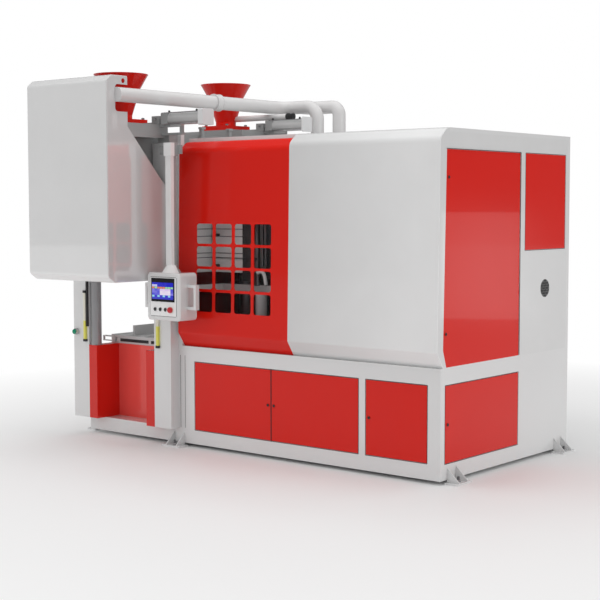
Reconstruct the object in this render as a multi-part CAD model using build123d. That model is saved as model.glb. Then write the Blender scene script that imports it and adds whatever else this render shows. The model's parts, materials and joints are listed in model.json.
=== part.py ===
from build123d import *
import math
import os

# Flaskless molding machine, in millimetres.
# Pieces are drawn from the front right corner of the base.
# X is 0 at the right end and falls to the left, Y is 0 on the front plane and grows to the back,
# and Z is 0 on the floor.
# The last step moves them so that the origin is on the floor at the middle of the corner anchor bolts.

# Base frame
base_length = 3834
base_depth = 1956
base_gap = 30
base_top = 152
base_beam = 100
base_floor_thick = 8
cross_beams = 3

# Foot brackets
foot_length = 200
foot_reach = 110
foot_plate = 14
foot_gusset = 10
foot_gusset_top = 120
foot_gusset_spread = 120
foot_hole = 22
foot_hole_out = 60
foot_side_inset = 160
foot_seam = 0.3

# Lower cabinet
cabinet_length = 2692
foot_front_at = cabinet_length
cabinet_top = 872
deck_thick = 34
frame_thick = 40
rebate = 12
door_thick = 22
door_gap = 3
door_seat_gap = 0.3
door_bottom = 156
door_top = 738
double_door_left = 2502
double_door_right = 760
double_door_seam = 1646
small_door_left = 683
small_door_right = 120
side_door_front = 66
side_door_back = 1127
lock_radius = 11
lock_height = 446
lock_inset = 30
lock_proud = 5
tall_lock_low = 250
tall_lock_high = 206

# Upper housing
hood_length = cabinet_length - 42
hood_split = 1430
hood_sheet = 6
hood_foot_y = 30
hood_fold_y = -50
hood_fold_z = 991
hood_brow_y = -21
hood_brow_z = 2573
hood_top_y = 70
housing_top = 2650
red_hood_drop = 30
fold_bend = 26
brow_bend = 70
stile_depth = 40
stile_above = 40
wall_thick = 40
roof_thick = 30
window_rows = 4
window_columns = 4
window_width = 184
window_height = 168
window_pitch_x = 215
window_pitch_z = 191
window_first_x = -2440
window_top = 1925
window_round = 22
glass_thick = 5
glass_margin = 24

# Right end of the housing
tall_door_front = 66
tall_door_fold_y = 30
tall_door_fold_z = 1004
tall_door_foot_y = 75
tall_door_back = 1131
tall_door_bottom = 876
tall_door_top = 2491
narrow_panel_front = 1218
narrow_panel_back = base_depth - 80
narrow_panel_bottom = 1718
panel_thick = 16
vent_y = 1550
vent_z = 1396
vent_radius = 80
vent_sheet = 4
vent_pitch = 24
vent_hole = 11

# Moulding gear that shows through the windows
flask_left = 2560
flask_right = 2240
flask_front = 330
flask_back = 980
flask_bottom = 1500
flask_top = 2180
flask_groove = 14
flask_groove_depth = 10
flask_grooves = 5
beam_left = 2600
beam_right = 1500
beam_front = 420
beam_back = 1640
beam_bottom = 1335
beam_top = 1393
guide_radius = 62
guide_x = 2400
guide_y = 560
guide_pitch_y = 840
press_radius = 150
press_x = 2020
press_y = 980

# Loading station at the left
post_width = 202
post_depth = 100
post_left_at = base_length
post_right_at = cabinet_length + post_width / 2
post_top = 2610
guard_top = 817
guard_leg = 103
guard_left_in = post_left_at - post_width / 2 - guard_leg
guard_right_in = post_right_at + post_width / 2 + guard_leg
guard_back_y = 170
guard_sheet = 6
guard_front_thick = 100
station_column_radius = 48
station_column_x = -post_left_at + post_width / 2 + station_column_radius + 1
station_column_y = -54
stop_bar_width = 22
stop_bar_thick = 16
stop_bar_bottom = 985
table_back = 1500
table_bottom = 806
table_top = 888
table_beam = 44
rail_count = 5
rail_width = 40
rail_height = 6
table_plate = 16
fence_thick = 24
fence_top = 980
fence_front = 250
fence_back = 1400

# Head over the station
head_left = post_left_at - post_width / 2 + 2
head_right = post_right_at - 55
head_front = -770
head_bottom = 1442
head_top = 3143
cover_sheet = 6
cover_bend = 36
cover_edge = 9
cover_bottom_chamfer_y = 74
cover_bottom_chamfer_z = 53
cover_top_chamfer_y = 57
cover_top_chamfer_z = 48
cover_top_back = -537
cover_cut_top_z = 2730
cover_cut_low_y = -166
cover_cut_low_z = 2311
cover_back = -103
notch_front = -673
notch_bottom = 2848
notch_top = 3070
notch_round = 30
eye_radius = 20
eye_y = -582
eye_z = 3101
frame_beam = 80
frame_top = post_top + 142
lid_thick = 12
hopper_y = (-139, 1210)
hopper_x = (head_left + head_right) / 2
hopper_half_x = 330
hopper_half_y = 240
hopper_shoulder = 2250
hopper_mouth = 1560
hopper_mouth_half = 200
flange_half = 160
flange_thick = 42
funnel_neck = 36
gate_plate = 18
funnel_waist_z = frame_top + 336
funnel_top_z = frame_top + 462
funnel_top_radius = 236
funnel_waist_radius = 165
funnel_foot_radius = 95
funnel_sheet = 5

# Gate cylinders
gate_rod_radius = 14
gate_rod_up = 56
gate_plate_reach = 246
gate_tongue = 54
gate_clevis_start = 403
gate_clevis_long = 90
gate_rod_length = 44
gate_head_long = 80
gate_tube_radius = 52
gate_tube_length = 364
gate_cap = 134
gate_cap_long = (56, 14)
gate_bar = 20
gate_bar_length = 250
gate_rest_width = 34

# Pipes over the roof
pipe_radius = 60
pipe_x = -post_right_at + 71
pipe_z = frame_top + 232
pipe_back_y = 1452
pipe_drop_x = -hood_length + 332
pipe_bend = 120
collar_y = 520
collar_radius = 72
collar_length = 70
second_pipe_y = 1600
second_pipe_bend = 80
second_pipe_tee_x = -hood_length + 130
second_pipe_drop_x = -hood_length + 470
nozzle_radius = 27
nozzle_up = 138
nozzle_off = 40
nozzle_end_x = -hood_length + 144
nozzle_cap_radius = 23

# Control box on its pole
box_width = 385
box_height = 400
box_depth = 200
box_x = -post_right_at + 262
box_front = -345
box_bottom = 1118
box_round = 34
box_edge = 10
pole_side = 64
pole_top = 2600
pole_cap = 84
pole_cap_height = 112
bracket_height = 75
bracket_left = 151
bracket_right = 34
bracket_thick = 20
swivel_top_radius = 42
swivel_foot_radius = 82
swivel_height = 62
face_width = 300
face_height = 322
face_proud = 3
bezel_width = 268
bezel_height = 196
button_count = 3
button_row_up = 54
button_radius = 14
button_reach = 8
stop_radius = 24
stop_reach = 18
handle_reach = 105
handle_height = 210
handle_bar = 26
handle_depth = 40

# Light curtains and lamp on the posts
curtain_width = 26
curtain_depth = 20
curtain_left_x = -post_left_at + 62
curtain_top = 1310
curtain_right_x = -post_right_at - 46
curtain_bottom = 846
curtain_cap = 22
curtain_cap_proud = 3
lamp_x = -post_left_at - 56
lamp_z = 930
lamp_radius = 26
lamp_ring_reach = 19
lamp_dome_radius = 20
lamp_dome_reach = 14
lamp_dome_edge = 6

to_origin = Location((base_length / 2, -base_depth / 2, 0))
nodes = {}


def block(x0, x1, y0, y1, z0, z1):
    """A box between two corners."""
    size = (x1 - x0, y1 - y0, z1 - z0)
    middle = ((x0 + x1) / 2, (y0 + y1) / 2, (z0 + z1) / 2)
    return Pos(*middle) * Box(*size)


def upright(x, y, z0, z1, radius):
    """A round bar standing between two heights."""
    return Pos(x, y, (z0 + z1) / 2) * Cylinder(radius, z1 - z0)


def side_profile(points, x0, x1):
    """A closed outline in Y and Z, drawn out along X."""
    outline = Plane.YZ * make_face(Polyline(*points, close=True))
    return Pos(x0, 0, 0) * extrude(outline, x1 - x0, dir=(1, 0, 0))


def rounded_block(x, z, width, height, radius, y0, y1):
    """A block with rounded corners as seen from the front, x and z at its middle."""
    face = Plane(origin=(x, y0, z), x_dir=(1, 0, 0), z_dir=(0, 1, 0))
    return extrude(face * RectangleRounded(width, height, radius), y1 - y0)


def add(name, shape):
    nodes[name] = shape


# Base: a ring of beams with cross beams under a thin floor, and the foot brackets
def base_frame():
    ring = block(-base_length, 0, 0, base_depth, base_gap, base_top)
    bay = (base_length - base_beam * (cross_beams + 2)) / (cross_beams + 1)
    for n in range(cross_beams + 1):
        left = -base_length + base_beam + n * (bay + base_beam)
        ring -= block(
            left, left + bay, base_beam, base_depth - base_beam, 0, base_top - base_floor_thick
        )
    return ring


def foot_bracket():
    """One bracket against a wall on its Y axis, reaching out along +X, with its plate on the floor."""
    plate = block(0, foot_reach, -foot_length / 2, foot_length / 2, 0, foot_plate)
    plate -= Pos(foot_hole_out, 0, 0) * Cylinder(foot_hole / 2, 4 * foot_plate)
    outline = Plane.XZ * make_face(
        Polyline((0, foot_plate), (foot_reach, foot_plate), (0, foot_gusset_top), close=True)
    )
    gusset = extrude(outline, foot_gusset / 2, both=True)
    bracket = plate
    for side in (-1, 1):
        bracket += Pos(0, side * foot_gusset_spread / 2, 0) * gusset
    return bracket


def foot_brackets():
    """Two brackets at each end and one at the front and the back."""
    one = foot_bracket()
    brackets = []
    for y in (foot_side_inset, base_depth - foot_side_inset):
        brackets.append(Pos(foot_seam, y, 0) * one)
        brackets.append(Pos(-base_length - foot_seam, y, 0) * Rot(0, 0, 180) * one)
    brackets.append(Pos(-foot_front_at, -foot_seam, 0) * Rot(0, 0, -90) * one)
    brackets.append(Pos(-foot_front_at, base_depth + foot_seam, 0) * Rot(0, 0, 90) * one)
    return Compound(brackets)


# Lower cabinet: a welded frame with rebates that the doors close on
def door_hole_front(left, right):
    """The cutter for a front door: full size as deep as the door, then smaller by the rebate."""
    depth = door_thick + door_seat_gap
    outer = block(
        -left - door_gap, -right + door_gap, -1, depth,
        door_bottom - door_gap, door_top + door_gap
    )
    inner = block(
        -left + rebate, -right - rebate, depth - 1, frame_thick + 1,
        door_bottom + rebate, door_top - rebate
    )
    return outer + inner


def cabinet_front_frame():
    frame = block(-cabinet_length, 0, 0, frame_thick, base_top, cabinet_top - deck_thick)
    frame -= door_hole_front(double_door_left, double_door_right)
    frame -= door_hole_front(small_door_left, small_door_right)
    return frame


def cabinet_right_frame():
    depth = door_thick + door_seat_gap
    frame = block(
        -frame_thick, 0, frame_thick, base_depth - frame_thick,
        base_top, cabinet_top - deck_thick
    )
    frame -= block(
        -depth, 1, side_door_front - door_gap, side_door_back + door_gap,
        door_bottom - door_gap, door_top + door_gap
    )
    frame -= block(
        -frame_thick - 1, 1 - depth, side_door_front + rebate, side_door_back - rebate,
        door_bottom + rebate, door_top - rebate
    )
    return frame


def cabinet_walls():
    """The cabinet's left and rear walls, which meet in one corner."""
    top = cabinet_top - deck_thick
    left = block(
        -cabinet_length, -cabinet_length + frame_thick, frame_thick, base_depth, base_top, top
    )
    return left + block(-cabinet_length, 0, base_depth - frame_thick, base_depth, base_top, top)


def machine_deck():
    return block(-cabinet_length, 0, 0, base_depth, cabinet_top - deck_thick, cabinet_top)


def front_door(left, right, lock_x):
    """A flush door leaf with its quarter turn lock."""
    leaf = block(-left, -right, 0, door_thick, door_bottom, door_top)
    lock = Pos(lock_x, -lock_proud / 2, lock_height) * Rot(90, 0, 0) * Cylinder(lock_radius, lock_proud)
    return leaf + lock


def side_door_lower():
    leaf = block(-door_thick, 0, side_door_front, side_door_back, door_bottom, door_top)
    lock = Pos(lock_proud / 2, side_door_front + lock_inset, lock_height) * Rot(0, 90, 0)
    return leaf + lock * Cylinder(lock_radius, lock_proud)


# Upper housing: the bent hood sheets, the end walls, the back and the roof
def hood_line(inset, drop=0):
    """The hood's outline in Y and Z from its foot to the top, moved inwards by inset.

    The brow and the top are lowered by drop.
    """
    lean = math.atan2(hood_brow_y - hood_fold_y, hood_brow_z - drop - hood_fold_z)
    skirt = math.atan2(hood_fold_z - cabinet_top, hood_foot_y - hood_fold_y)
    chamfer = math.atan2(housing_top - hood_brow_z, hood_top_y - hood_brow_y)
    across = inset / math.cos(lean)
    fold_drop = inset * math.tan((math.pi / 2 - skirt + lean) / 2)
    brow_drop = inset * math.tan((math.pi / 2 - chamfer - lean) / 2)
    foot = (hood_foot_y + inset / math.sin(skirt), cabinet_top)
    fold = (hood_fold_y + across, hood_fold_z + fold_drop)
    brow = (hood_brow_y + across, hood_brow_z - drop - brow_drop)
    top_y = hood_top_y + inset * math.tan(chamfer / 2)
    return [foot, fold, brow, (top_y, housing_top - drop - inset)]


def hood_body(inset, x_left, x_right, drop=0):
    """The space under the hood as a solid, with its three bends rounded."""
    foot, fold, brow, top = hood_line(inset, drop)
    back = hood_top_y + roof_thick
    outline = [foot, fold, brow, top, (back, top[1]), (back, cabinet_top)]
    body = side_profile(outline, x_left, x_right)
    for bend, radius in ((fold, fold_bend), (brow, brow_bend), (top, brow_bend)):
        edges = body.edges().filter_by(Axis.X)
        nearest = edges.sort_by_distance((edges[0].center().X, *bend))[0]
        body = fillet(nearest, radius - inset)
    return body


def hood_sheet_part(x_left, x_right, drop=0):
    """A stretch of the hood: the outer body less the inner one."""
    inner = hood_body(hood_sheet, x_left - 1, x_right + 1, drop)
    return hood_body(0, x_left, x_right, drop) - inner


def hood_red():
    """The red hood, a little lower than the white one, with its rows of windows."""
    sheet = hood_sheet_part(-hood_length, -hood_split, red_hood_drop)
    for row in range(window_rows):
        for column in range(window_columns):
            x = window_first_x + window_width / 2 + column * window_pitch_x
            z = window_top - window_height / 2 - row * window_pitch_z
            sheet -= rounded_block(
                x, z, window_width, window_height, window_round, hood_fold_y - 1, hood_foot_y
            )
    return sheet


def hood_white():
    return hood_sheet_part(-hood_split, 0)


def window_glass():
    """One pane against the hood's inner face, behind all of the windows."""
    foot, fold, brow, top = hood_line(hood_sheet, red_hood_drop)
    slope = (brow[0] - fold[0]) / (brow[1] - fold[1])
    high = window_top + glass_margin
    low = window_top - (window_rows - 1) * window_pitch_z - window_height - glass_margin
    outline = []
    for z, thick in ((low, 0), (high, 0), (high, glass_thick), (low, glass_thick)):
        outline.append((fold[0] + (z - fold[1]) * slope + thick, z))
    right = window_first_x + (window_columns - 1) * window_pitch_x + window_width
    return side_profile(outline, window_first_x - glass_margin, right + glass_margin)


def end_wall(x0, x1, drop=0):
    """An end wall that fills the hood's inside at its front and reaches back under the roof."""
    front = hood_top_y + roof_thick
    wall = hood_body(hood_sheet, x0, x1, drop)
    return wall + block(x0, x1, front, base_depth - wall_thick, cabinet_top, housing_top - roof_thick)


def tall_door_leaf(x0, x1):
    """The tall door's outline, whose front edge runs beside the hood's, between two places in X."""
    outline = [
        (tall_door_foot_y, tall_door_bottom), (tall_door_fold_y, tall_door_fold_z),
        (tall_door_front, tall_door_top), (tall_door_back, tall_door_top),
        (tall_door_back, tall_door_bottom)
    ]
    return side_profile(outline, x0, x1)


def tall_door_edge(z):
    """Where the tall door's front edge lies at a height above its fold."""
    share = (z - tall_door_fold_z) / (tall_door_top - tall_door_fold_z)
    return tall_door_fold_y + share * (tall_door_front - tall_door_fold_y)


def vent_places():
    """The centres of the vent's holes: a triangular lattice inside a circle."""
    row_pitch = vent_pitch * math.sqrt(3) / 2
    count = math.ceil(vent_radius / row_pitch)
    places = []
    for row in range(-count, count + 1):
        for column in range(-count, count + 1):
            across = (column + (row % 2) / 2) * vent_pitch
            up = row * row_pitch
            if math.hypot(across, up) < vent_radius - vent_hole:
                places.append((across, up))
    return places


def upper_right_wall():
    """The right end wall, with pockets for its door and panel, and the vent's thin pierced sheet."""
    wall = end_wall(-wall_thick, 0)
    wall -= tall_door_leaf(-panel_thick, 1)
    wall -= block(
        -panel_thick, 1, narrow_panel_front, narrow_panel_back, narrow_panel_bottom, tall_door_top
    )
    recess = Pos(-wall_thick, vent_y, vent_z) * Rot(0, 90, 0)
    wall -= recess * Cylinder(vent_radius, 2 * (wall_thick - vent_sheet))
    face = Plane(origin=(-wall_thick, vent_y, vent_z), x_dir=(0, 1, 0), z_dir=(1, 0, 0))
    holes = [Pos(*place) * RegularPolygon(vent_hole, 6, rotation=30) for place in vent_places()]
    return wall - extrude(face * Sketch(holes), wall_thick + 1)


def side_door_tall():
    leaf = tall_door_leaf(-panel_thick, 0)
    for z in (tall_door_bottom + tall_lock_low, tall_door_top - tall_lock_high):
        spot = Pos(lock_proud / 2, tall_door_edge(z) + lock_inset, z) * Rot(0, 90, 0)
        leaf += spot * Cylinder(lock_radius, lock_proud)
    return leaf


def side_panel_narrow():
    return block(
        -panel_thick, 0, narrow_panel_front, narrow_panel_back, narrow_panel_bottom, tall_door_top
    )


def upper_left_wall():
    """The left end wall with the stile that closes the gap to the station's post."""
    wall = end_wall(-hood_length, -hood_length + wall_thick, red_hood_drop)
    return wall + block(
        -cabinet_length, -hood_length, 0, stile_depth, cabinet_top, housing_top + stile_above
    ) + block(
        -cabinet_length, -hood_length, stile_depth, base_depth - wall_thick,
        cabinet_top, cabinet_top + stile_depth
    )


def upper_rear_wall():
    top = housing_top - roof_thick
    return block(-hood_length, 0, base_depth - wall_thick, base_depth, cabinet_top, top)


def roof_panel():
    front = hood_top_y + roof_thick
    return block(-hood_length, 0, front, base_depth, housing_top - roof_thick, housing_top)


# Moulding gear behind the windows
def guide_places():
    return [(-guide_x, guide_y), (-guide_x, guide_y + guide_pitch_y)]


def mould_flask():
    """The flask, with grooves round its front and a hole for each guide column."""
    flask = block(-flask_left, -flask_right, flask_front, flask_back, flask_bottom, flask_top)
    for n in range(1, flask_grooves + 1):
        z = flask_bottom + n * (flask_top - flask_bottom) / (flask_grooves + 1)
        flask -= block(
            -flask_left - 1, -flask_right + 1, flask_front - 1, flask_front + flask_groove_depth,
            z, z + flask_groove
        )
    flask -= upright(-guide_x, guide_y, 0, housing_top, guide_radius)
    return flask


def squeeze_table():
    """The press table, bored for the guide columns, on its beam."""
    table = block(-beam_left, -beam_right, beam_front, beam_back, beam_bottom, beam_top)
    for x, y in guide_places():
        table -= upright(x, y, 0, housing_top, guide_radius)
    return table


def guide_columns():
    top = housing_top - roof_thick
    return Compound([upright(x, y, cabinet_top, top, guide_radius) for x, y in guide_places()])


def press_cylinder():
    return upright(-press_x, press_y, cabinet_top, beam_bottom, press_radius)


# Station at the left: posts, red guard, table and column
def post(middle_x, y0):
    half = post_width / 2
    return block(
        -middle_x - half, -middle_x + half, y0, y0 + post_depth, base_top, post_top
    )


def posts_rear():
    rear = base_depth - post_depth
    return Compound([post(post_left_at, rear), post(post_right_at, rear)])


def station_guard():
    """Two red leg boxes joined by a panel set back between them."""
    back = guard_back_y + guard_sheet
    guard = block(-guard_left_in, -guard_right_in, guard_back_y, back, base_top, guard_top)
    sides = [
        (-post_left_at + post_width / 2, -guard_left_in),
        (-guard_right_in, -post_right_at - post_width / 2)
    ]
    for left, right in sides:
        guard += block(left, right, -post_depth, back, base_top, guard_top)
    for left, right in sides:
        guard -= block(
            left + guard_sheet, right - guard_sheet, guard_front_thick - post_depth, guard_back_y,
            base_top - 1, guard_top - guard_sheet
        )
    return guard


def station_column():
    return upright(station_column_x, station_column_y, guard_top, post_top, station_column_radius)


def station_table():
    """A plate and, below a gap, a ring of beams, on four legs behind the guard."""
    left = -post_left_at + post_width / 2
    right = -post_right_at - post_width / 2
    front = guard_back_y + guard_sheet
    table = block(left, right, front, table_back, table_bottom, table_bottom + table_beam / 2)
    table -= block(
        left + table_beam, right - table_beam, front + table_beam, table_back - table_beam,
        0, table_top
    )
    for x in (left, right - table_beam):
        for y in (front, table_back - table_beam):
            table += block(x, x + table_beam, y, y + table_beam, base_top, table_top)
    return table + block(left, right, front, table_back, table_top - table_plate, table_top)


def table_rails():
    """Flat wear strips along the table's plate and a fence that guides the mould over it."""
    left = -post_left_at + post_width / 2
    right = -post_right_at - post_width / 2
    front = guard_back_y + guard_sheet
    pitch = (right - left - rail_width) / (rail_count - 1)
    rails = []
    for n in range(rail_count):
        x = left + n * pitch
        rails.append(block(x, x + rail_width, front, table_back, table_top, table_top + rail_height))
    fence_x = left + pitch + (rail_width - fence_thick) / 2
    rails[1] += block(
        fence_x, fence_x + fence_thick, fence_front, fence_back, table_top, fence_top
    )
    return Compound(rails)


# Head over the station: the frame on the posts, the cover, the hoppers with their funnels and gates
def head_frame():
    """Two long beams on the posts, a front part that carries the cover and a ring for each hopper."""
    high = post_top + frame_beam
    left = -head_left + cover_sheet
    right = -head_right - cover_sheet
    frame = block(left, left + frame_beam, -post_depth, base_depth, post_top, high)
    frame += block(right - frame_beam, right, -post_depth, base_depth, post_top, high)
    for y in (-post_depth, base_depth - post_depth):
        frame += block(-post_left_at - post_width / 2, left, y, y + post_depth, post_top, high)
        frame += block(right, -post_right_at + post_width / 2, y, y + post_depth, post_top, high)
    ring_back = hopper_y[1] + hopper_half_y + frame_beam
    ring_front = hopper_y[1] - hopper_half_y - frame_beam
    rings = (
        (cover_top_back, -post_depth, post_top + frame_beam / 2), (ring_front, ring_back, high)
    )
    for front, back, low in rings:
        frame += block(left, left + frame_beam, front, back, low, frame_top)
        frame += block(right - frame_beam, right, front, back, low, frame_top)
        frame += block(left, right, front, front + frame_beam, low, frame_top)
    frame += block(left, right, ring_back - frame_beam, ring_back, high, frame_top)
    rest_x = right + gate_bar_length - gate_rest_width
    rest_front = -post_depth - stile_depth
    frame += block(
        right, rest_x + gate_rest_width, rest_front, -post_depth, high - gate_bar, high
    )
    return frame + block(
        rest_x, rest_x + gate_rest_width, rest_front, rest_front + gate_bar,
        high, frame_top + gate_rod_up - gate_tube_radius - gate_plate
    )


def cover_points(inset):
    """The cover's side outline without the cut at its back."""
    front = head_front + inset
    low = head_bottom + inset
    high = head_top - inset
    half = inset * math.tan(math.pi / 8)
    return [
        (front, head_bottom + cover_bottom_chamfer_z + half),
        (front, head_top - cover_top_chamfer_z - half),
        (head_front + cover_top_chamfer_y + half, high), (0, high), (0, low),
        (head_front + cover_bottom_chamfer_y + half, low)
    ]


def cover_body(inset, left, right, edge):
    """The cover's filled form with rounded bends, and softened side edges where edge isn't 0."""
    body = side_profile(cover_points(inset), left, right)
    bends = [line for line in body.edges().filter_by(Axis.X) if line.center().Y < cover_top_back]
    body = fillet(bends, cover_bend - inset)
    if edge:
        rims = []
        for face in (body.faces().sort_by(Axis.X)[0], body.faces().sort_by(Axis.X)[-1]):
            rims += [line for line in face.edges() if line.center().Y < -1]
        body = fillet(rims, edge)
    return body


def head_cover():
    """A folded sheet open at the back, whose side plates have the long cut and a notch for the pipe."""
    left, right = -head_left, -head_right
    shell = cover_body(0, left, right, cover_edge)
    shell -= cover_body(cover_sheet, left + cover_sheet, right - cover_sheet, 0)
    cut = [
        (cover_top_back, head_top + 1), (cover_top_back, cover_cut_top_z),
        (cover_cut_low_y, cover_cut_low_z),
        (cover_back, cover_cut_low_z - (cover_back - cover_cut_low_y)), (cover_back, head_bottom - 1),
        (1, head_bottom - 1), (1, head_top + 1)
    ]
    shell -= side_profile(cut, left - 1, right + 1)
    notch_length = cover_top_back - notch_front + notch_round
    notch_middle = Pos(notch_front + notch_length / 2, (notch_bottom + notch_top) / 2)
    notch_height = notch_top - notch_bottom
    notch = Plane.YZ * notch_middle * RectangleRounded(notch_length, notch_height, notch_round)
    shell -= Pos(right - 2 * cover_sheet, 0, 0) * extrude(notch, 4 * cover_sheet, dir=(1, 0, 0))
    shell -= Pos(right, eye_y, eye_z) * Rot(0, 90, 0) * Cylinder(eye_radius, 4 * cover_sheet)
    return shell


def lid_span(middle_y):
    """How far a hopper's lid reaches in Y: over the ring it hangs in."""
    if middle_y == hopper_y[0]:
        return cover_top_back, -post_depth
    reach = hopper_half_y + frame_beam
    return middle_y - reach, middle_y + reach


def hopper(middle_y):
    """A square bin that narrows to its mouth, hung from the frame by its lid."""
    shoulder = Rectangle(2 * hopper_half_x, 2 * hopper_half_y)
    mouth = Rectangle(2 * hopper_mouth_half, 2 * hopper_mouth_half)
    funnelled = loft([
        Pos(-hopper_x, middle_y, hopper_mouth) * mouth,
        Pos(-hopper_x, middle_y, hopper_shoulder) * shoulder
    ])
    bin_top = block(
        -hopper_x - hopper_half_x, -hopper_x + hopper_half_x,
        middle_y - hopper_half_y, middle_y + hopper_half_y, hopper_shoulder,
        frame_top + lid_thick
    )
    lid_front, lid_back = lid_span(middle_y)
    lid = block(
        -head_left + cover_sheet, -head_right - cover_sheet, lid_front, lid_back,
        frame_top, frame_top + lid_thick
    )
    return funnelled + bin_top + lid


def funnel(middle_y):
    """A thin walled funnel on its square flange."""
    foot = frame_top + lid_thick + gate_plate
    wall = funnel_sheet
    outline = [
        (funnel_foot_radius - wall, foot), (flange_half, foot), (flange_half, foot + flange_thick),
        (funnel_foot_radius, foot + flange_thick),
        (funnel_foot_radius, foot + flange_thick + funnel_neck), (funnel_waist_radius, funnel_waist_z),
        (funnel_top_radius, funnel_top_z), (funnel_top_radius - wall, funnel_top_z),
        (funnel_waist_radius - wall, funnel_waist_z),
        (funnel_foot_radius - wall, foot + flange_thick + funnel_neck)
    ]
    turned = revolve(Plane.XZ * make_face(Polyline(*outline, close=True)), Axis.Z)
    corners = Pos(0, 0, foot + flange_thick / 2) * Box(2 * flange_half, 2 * flange_half, flange_thick)
    corners -= Pos(0, 0, foot) * Cylinder(funnel_foot_radius - wall, 4 * flange_thick)
    return Pos(-hopper_x, middle_y, 0) * (turned + corners)


def gate_cylinder(middle_y, cap_long):
    """A funnel's slide plate, whose tongue is pulled by a cylinder on a bar off the frame."""
    low = frame_top + lid_thick
    rod_z = frame_top + gate_rod_up
    plate_end = -hopper_x + gate_plate_reach
    clevis_start = -hopper_x + gate_clevis_start
    clevis_end = clevis_start + gate_clevis_long
    head_start = clevis_end + gate_rod_length
    tube_start = head_start + gate_head_long
    tube_end = tube_start + gate_tube_length
    half = gate_tongue / 2

    def lying(x0, x1, radius):
        return Pos((x0 + x1) / 2, middle_y, rod_z) * Rot(0, 90, 0) * Cylinder(radius, x1 - x0)

    def squared(x0, x1, side):
        face = Plane(origin=(x0, middle_y, rod_z), x_dir=(0, 1, 0), z_dir=(1, 0, 0))
        return extrude(face * RectangleRounded(side, side, gate_rod_radius), x1 - x0)

    gate = block(
        -hopper_x - flange_half, plate_end, middle_y - flange_half, middle_y + flange_half,
        low, low + gate_plate
    )
    gate += block(plate_end, clevis_end, middle_y - half, middle_y + half, low, low + gate_plate)
    gate += block(clevis_start, clevis_end, middle_y - half, middle_y + half, low, rod_z + half)
    gate += lying(clevis_end, head_start, gate_rod_radius)
    gate += squared(head_start, tube_start, 2 * gate_tube_radius)
    gate += lying(tube_start, tube_end, gate_tube_radius)
    gate += squared(tube_end, tube_end + cap_long, gate_cap)
    bar_x = -head_right - cover_sheet
    bar_top = rod_z - gate_tube_radius
    return gate + block(
        bar_x, bar_x + gate_bar_length, middle_y - gate_bar, middle_y + gate_bar,
        bar_top - gate_plate, bar_top + gate_plate / 2
    )


# Pipes over the roof
def swept_pipe(points, bend):
    path = FilletPolyline(*points, radius=bend)
    start = Plane(origin=path @ 0, z_dir=path % 0)
    return sweep(start * Circle(pipe_radius), path=path)


def air_pipe_front():
    pipe = swept_pipe([
        (pipe_x, notch_front, pipe_z), (pipe_x, pipe_back_y, pipe_z),
        (pipe_drop_x, pipe_back_y, pipe_z), (pipe_drop_x, pipe_back_y, housing_top)
    ], pipe_bend)
    collar = Pos(pipe_x, collar_y, pipe_z) * Rot(90, 0, 0) * Cylinder(collar_radius, collar_length)
    return pipe + collar


def funnel_nozzle():
    """A short pipe out of the rear funnel's side, ending in a smaller cap."""
    y = hopper_y[1] + nozzle_off
    z = frame_top + nozzle_up
    along = Rot(0, 90, 0)
    length = nozzle_end_x + hopper_x
    pipe = Pos(-hopper_x + length / 2, y, z) * along * Cylinder(nozzle_radius, length)
    pipe += Pos(nozzle_end_x, y, z) * along * Cylinder(nozzle_cap_radius, 2 * nozzle_radius)
    cone_low = frame_top + lid_thick + gate_plate + flange_thick + funnel_neck
    height = funnel_waist_z - cone_low
    cone = Cone(funnel_foot_radius, funnel_waist_radius, height)
    return pipe - Pos(-hopper_x, hopper_y[1], cone_low + height / 2) * cone


def air_pipe_rear():
    """A second pipe that branches off the first and drops through the roof, and the nozzle pipe."""
    branch = swept_pipe([
        (second_pipe_tee_x, pipe_back_y, pipe_z), (second_pipe_tee_x, second_pipe_y, pipe_z),
        (second_pipe_drop_x, second_pipe_y, pipe_z), (second_pipe_drop_x, second_pipe_y, housing_top)
    ], second_pipe_bend)
    run = pipe_drop_x - pipe_x
    first = Pos((pipe_x + pipe_drop_x) / 2, pipe_back_y, pipe_z) * Rot(0, 90, 0)
    branch -= first * Cylinder(pipe_radius, run)
    return Compound([branch.solid(), funnel_nozzle().solid()])


# Control box on its pole
def control_pole():
    """A square pole with a cap, a bracket back to the post, and the cone that holds the box."""
    y = box_front + box_depth / 2
    half = pole_side / 2
    foot = box_bottom + box_height
    cap_low = pole_top - pole_cap_height
    pole = block(box_x - half, box_x + half, y - half, y + half, foot + swivel_height, cap_low)
    cap_half = pole_cap / 2
    pole += block(
        box_x - cap_half, box_x + cap_half, y - cap_half, y + cap_half, cap_low, pole_top
    )
    low = pole_top - (pole_cap_height + bracket_height) / 2
    high = low + bracket_height
    left = box_x - bracket_left
    back = y + cap_half
    pole += block(left, box_x + cap_half + bracket_right, back, back + bracket_thick, low, high)
    pole += block(
        left - bracket_thick, left + bracket_thick, back, -post_depth, low, high
    )
    cone = Cone(swivel_foot_radius, swivel_top_radius, swivel_height)
    return pole + Pos(box_x, y, foot + swivel_height / 2) * cone


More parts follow.
